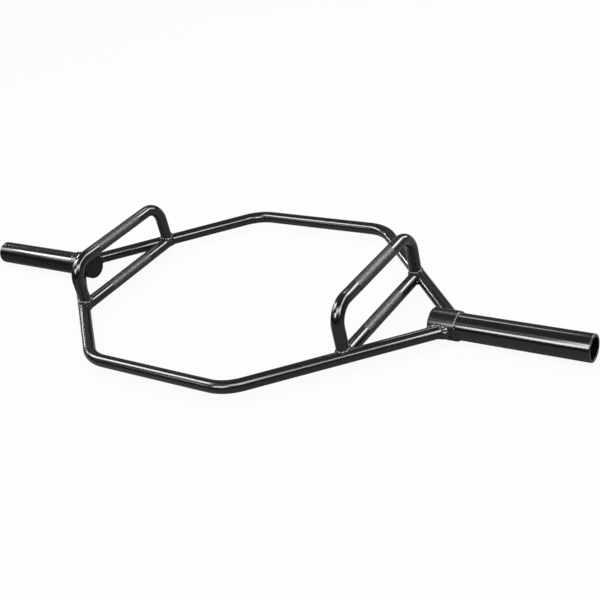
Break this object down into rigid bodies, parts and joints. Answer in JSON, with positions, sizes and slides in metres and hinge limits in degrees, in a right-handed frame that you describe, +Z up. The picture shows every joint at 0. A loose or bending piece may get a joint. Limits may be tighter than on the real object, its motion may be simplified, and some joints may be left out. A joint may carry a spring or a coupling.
{
  "type": "hex trap bar",
  "caption": "Welded hexagonal lifting bar that a lifter stands inside, with low and raised knurled handles and a plate sleeve at each end.",
  "frame": {"origin": "under the middle of the bar, level with the underside of the collars, which is the floor it is set on", "axes": "+X along the plate sleeves, +Y from front to rear, +Z up, the side the raised handles stand on"},
  "size_m": [1.4726, 0.616, 0.138],
  "materials": {
    "frame": "gloss black",
    "collar": "gloss black",
    "sleeve": "gloss black",
    "handle": "gloss black, knurled where the hands go",
    "weld": "gloss black over weld ripples"
  },
  "bodies": {
    "root": {"front_frame_bar": "frame", "rear_frame_bar": "frame", "right_collar": "collar", "left_collar": "collar", "right_collar_cap": "collar", "left_collar_cap": "collar", "right_sleeve": "sleeve", "left_sleeve": "sleeve", "right_low_handle": "handle", "left_low_handle": "handle", "right_raised_handle": "handle", "left_raised_handle": "handle", "right_sleeve_weld": "weld", "left_sleeve_weld": "weld", "right_front_collar_weld": "weld", "right_rear_collar_weld": "weld", "left_front_collar_weld": "weld", "left_rear_collar_weld": "weld", "right_front_low_handle_weld": "weld", "right_rear_low_handle_weld": "weld", "left_front_low_handle_weld": "weld", "left_rear_low_handle_weld": "weld", "right_front_raised_handle_weld": "weld", "right_rear_raised_handle_weld": "weld", "left_front_raised_handle_weld": "weld", "left_rear_raised_handle_weld": "weld"}
  },
  "joints": []
}
